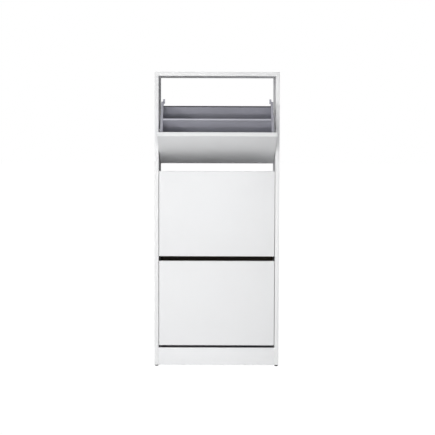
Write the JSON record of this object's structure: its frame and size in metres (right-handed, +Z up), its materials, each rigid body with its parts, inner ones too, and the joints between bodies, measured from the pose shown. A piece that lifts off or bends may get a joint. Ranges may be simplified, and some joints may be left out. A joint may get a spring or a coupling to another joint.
{
  "type": "shoe cabinet",
  "caption": "Tall narrow shoe cabinet with tilt-out flaps over a plinth, open at the back; the top flap stands open and shows its two-row tray.",
  "frame": {"origin": "on the floor, under the middle of the space the cabinet takes up with its top flap tilted out", "axes": "+X to the right seen from the front, +Y to the back, +Z up"},
  "size_m": [0.5, 0.4218, 1.185],
  "materials": {
    "white_board": "white melamine on particle board, satin",
    "grey_plastic": "fine moulded texture",
    "black_plastic": "matte",
    "white_nylon": "satin",
    "steel": "zinc plated",
    "zinc": "die cast",
    "hardboard": "raw brown hardboard",
    "beech": "raw"
  },
  "bodies": {
    "cabinet": {"side_panel_left": "white_board", "side_panel_right": "white_board", "top_panel": "white_board", "bottom_panel": "white_board", "plinth": "white_board", "back_rail_upper": "white_board", "back_rail_middle": "white_board", "back_panel": "hardboard", "panel_nails": "steel", "floor_glides": "black_plastic", "cam_locks": "zinc", "cam_bolts": "steel", "wood_dowels": "beech", "pivot_bushes": "white_nylon", "pivot_pins": "steel", "stop_pegs": "steel", "friction_catches": "white_nylon"},
    "flap_top": {"flap_front_top": "white_board", "side_plate_left_top": "grey_plastic", "side_plate_right_top": "grey_plastic", "tray_divider_top": "grey_plastic", "tray_back_top": "grey_plastic", "tray_floor_top": "grey_plastic", "flap_screws_top": "steel"},
    "flap_middle": {"flap_front_middle": "white_board", "side_plate_left_middle": "grey_plastic", "side_plate_right_middle": "grey_plastic", "tray_divider_middle": "grey_plastic", "tray_back_middle": "grey_plastic", "tray_floor_middle": "grey_plastic", "flap_screws_middle": "steel"},
    "flap_bottom": {"flap_front_bottom": "white_board", "side_plate_left_bottom": "grey_plastic", "side_plate_right_bottom": "grey_plastic", "tray_divider_bottom": "grey_plastic", "tray_back_bottom": "grey_plastic", "tray_floor_bottom": "grey_plastic", "flap_screws_bottom": "steel"}
  },
  "joints": [
    {"name": "tilt_top", "type": "hinge", "parent": "cabinet", "child": "flap_top", "pos_m": [0, 0.03486, 0.912], "axis": [1, 0, 0], "range_deg": [-70.5, 0]},
    {"name": "tilt_middle", "type": "hinge", "parent": "cabinet", "child": "flap_middle", "pos_m": [0, 0.03486, 0.551], "axis": [1, 0, 0], "range_deg": [0, 70.5]},
    {"name": "tilt_bottom", "type": "hinge", "parent": "cabinet", "child": "flap_bottom", "pos_m": [0, 0.03486, 0.19], "axis": [1, 0, 0], "range_deg": [0, 70.5]}
  ]
}
